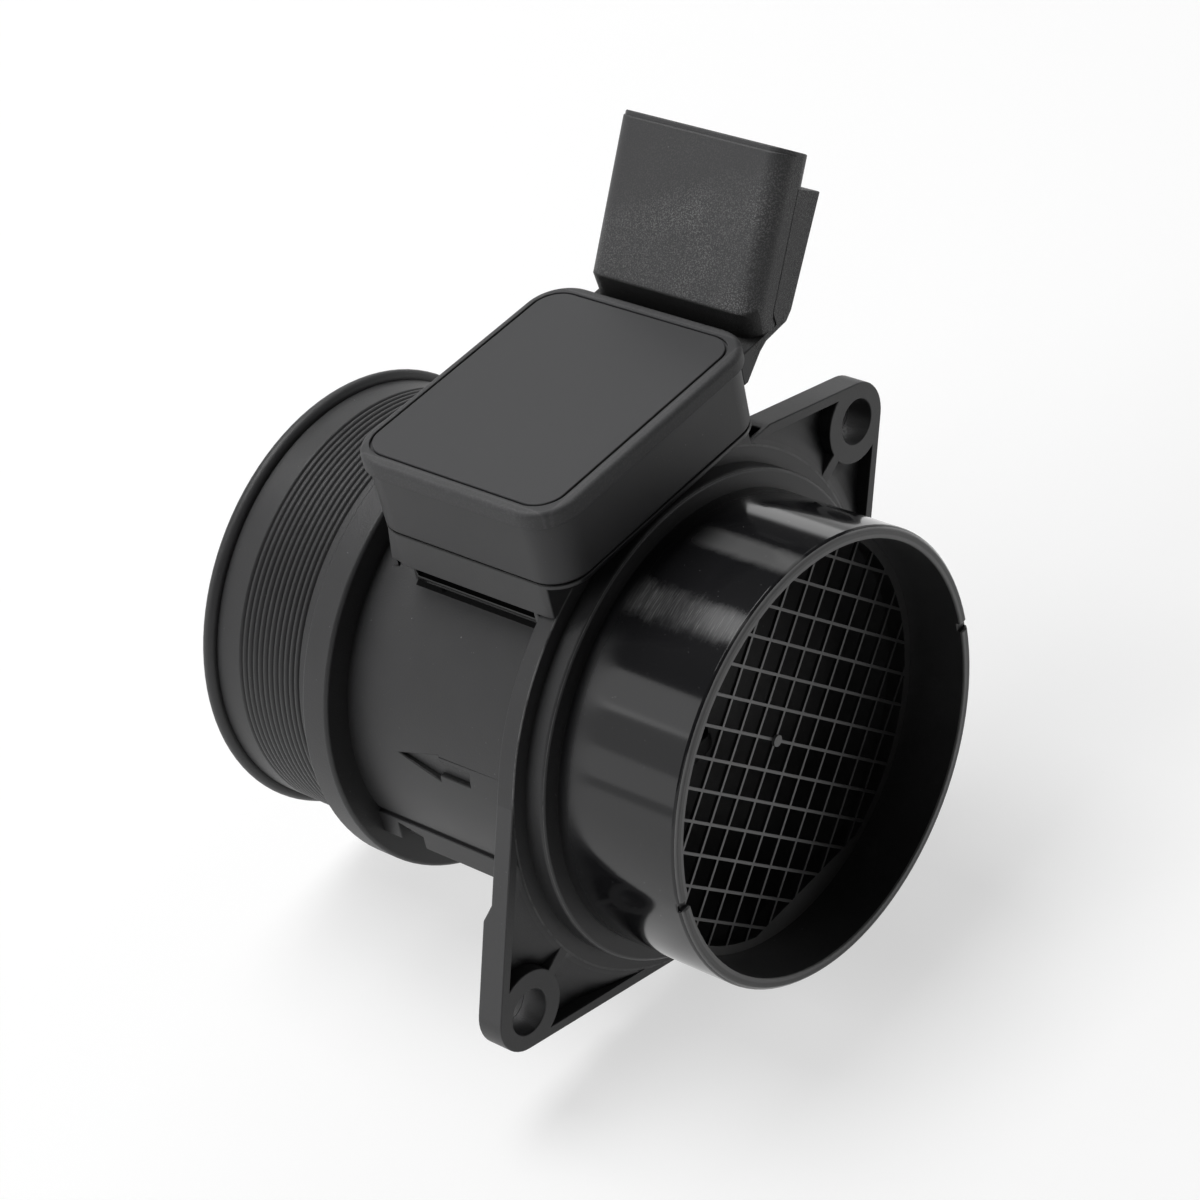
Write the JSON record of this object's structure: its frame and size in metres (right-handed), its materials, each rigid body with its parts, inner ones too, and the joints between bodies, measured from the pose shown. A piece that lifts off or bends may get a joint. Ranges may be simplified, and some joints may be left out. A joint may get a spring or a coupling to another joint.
{
  "type": "mass airflow sensor",
  "caption": "Black plastic flow tube with a two-ear flange, a flow grid in its mouth, a ribbed hose spigot and an electronics box with a leaning connector on top.",
  "frame": {"origin": "on the tube axis, in the front face of the flange", "axes": "+Y along the tube axis with the air flow, +Z square to the lid of the electronics box, +X towards the connector"},
  "size_m": [0.1044, 0.094, 0.115],
  "materials": {
    "tube_plastic": "black moulded plastic, satin, glossier on the inlet spigot",
    "grid_plastic": "dark grey moulded plastic",
    "module_plastic": "black moulded plastic with a fine spark grain",
    "lid_plastic": "black moulded plastic, matte top, grained edge",
    "seal_rubber": "matte",
    "base_aluminium": "rolled",
    "board_ceramic": "matte",
    "chip_plastic": "satin",
    "capacitor_ceramic": "matte",
    "element_ceramic": "glazed",
    "terminal_tin": "tin plated"
  },
  "bodies": {
    "root": {"tube_housing": "tube_plastic", "flow_grid": "grid_plastic", "sensor_body": "module_plastic", "module_lid": "lid_plastic", "duct_cover": "module_plastic", "stem_seal": "seal_rubber", "base_plate": "base_aluminium", "circuit_board": "board_ceramic", "signal_chip": "chip_plastic", "capacitor_1": "capacitor_ceramic", "capacitor_2": "capacitor_ceramic", "flow_element": "element_ceramic", "air_temp_element": "element_ceramic", "terminal_1": "terminal_tin", "terminal_2": "terminal_tin", "terminal_3": "terminal_tin", "terminal_4": "terminal_tin", "terminal_5": "terminal_tin", "terminal_6": "terminal_tin"}
  },
  "joints": []
}
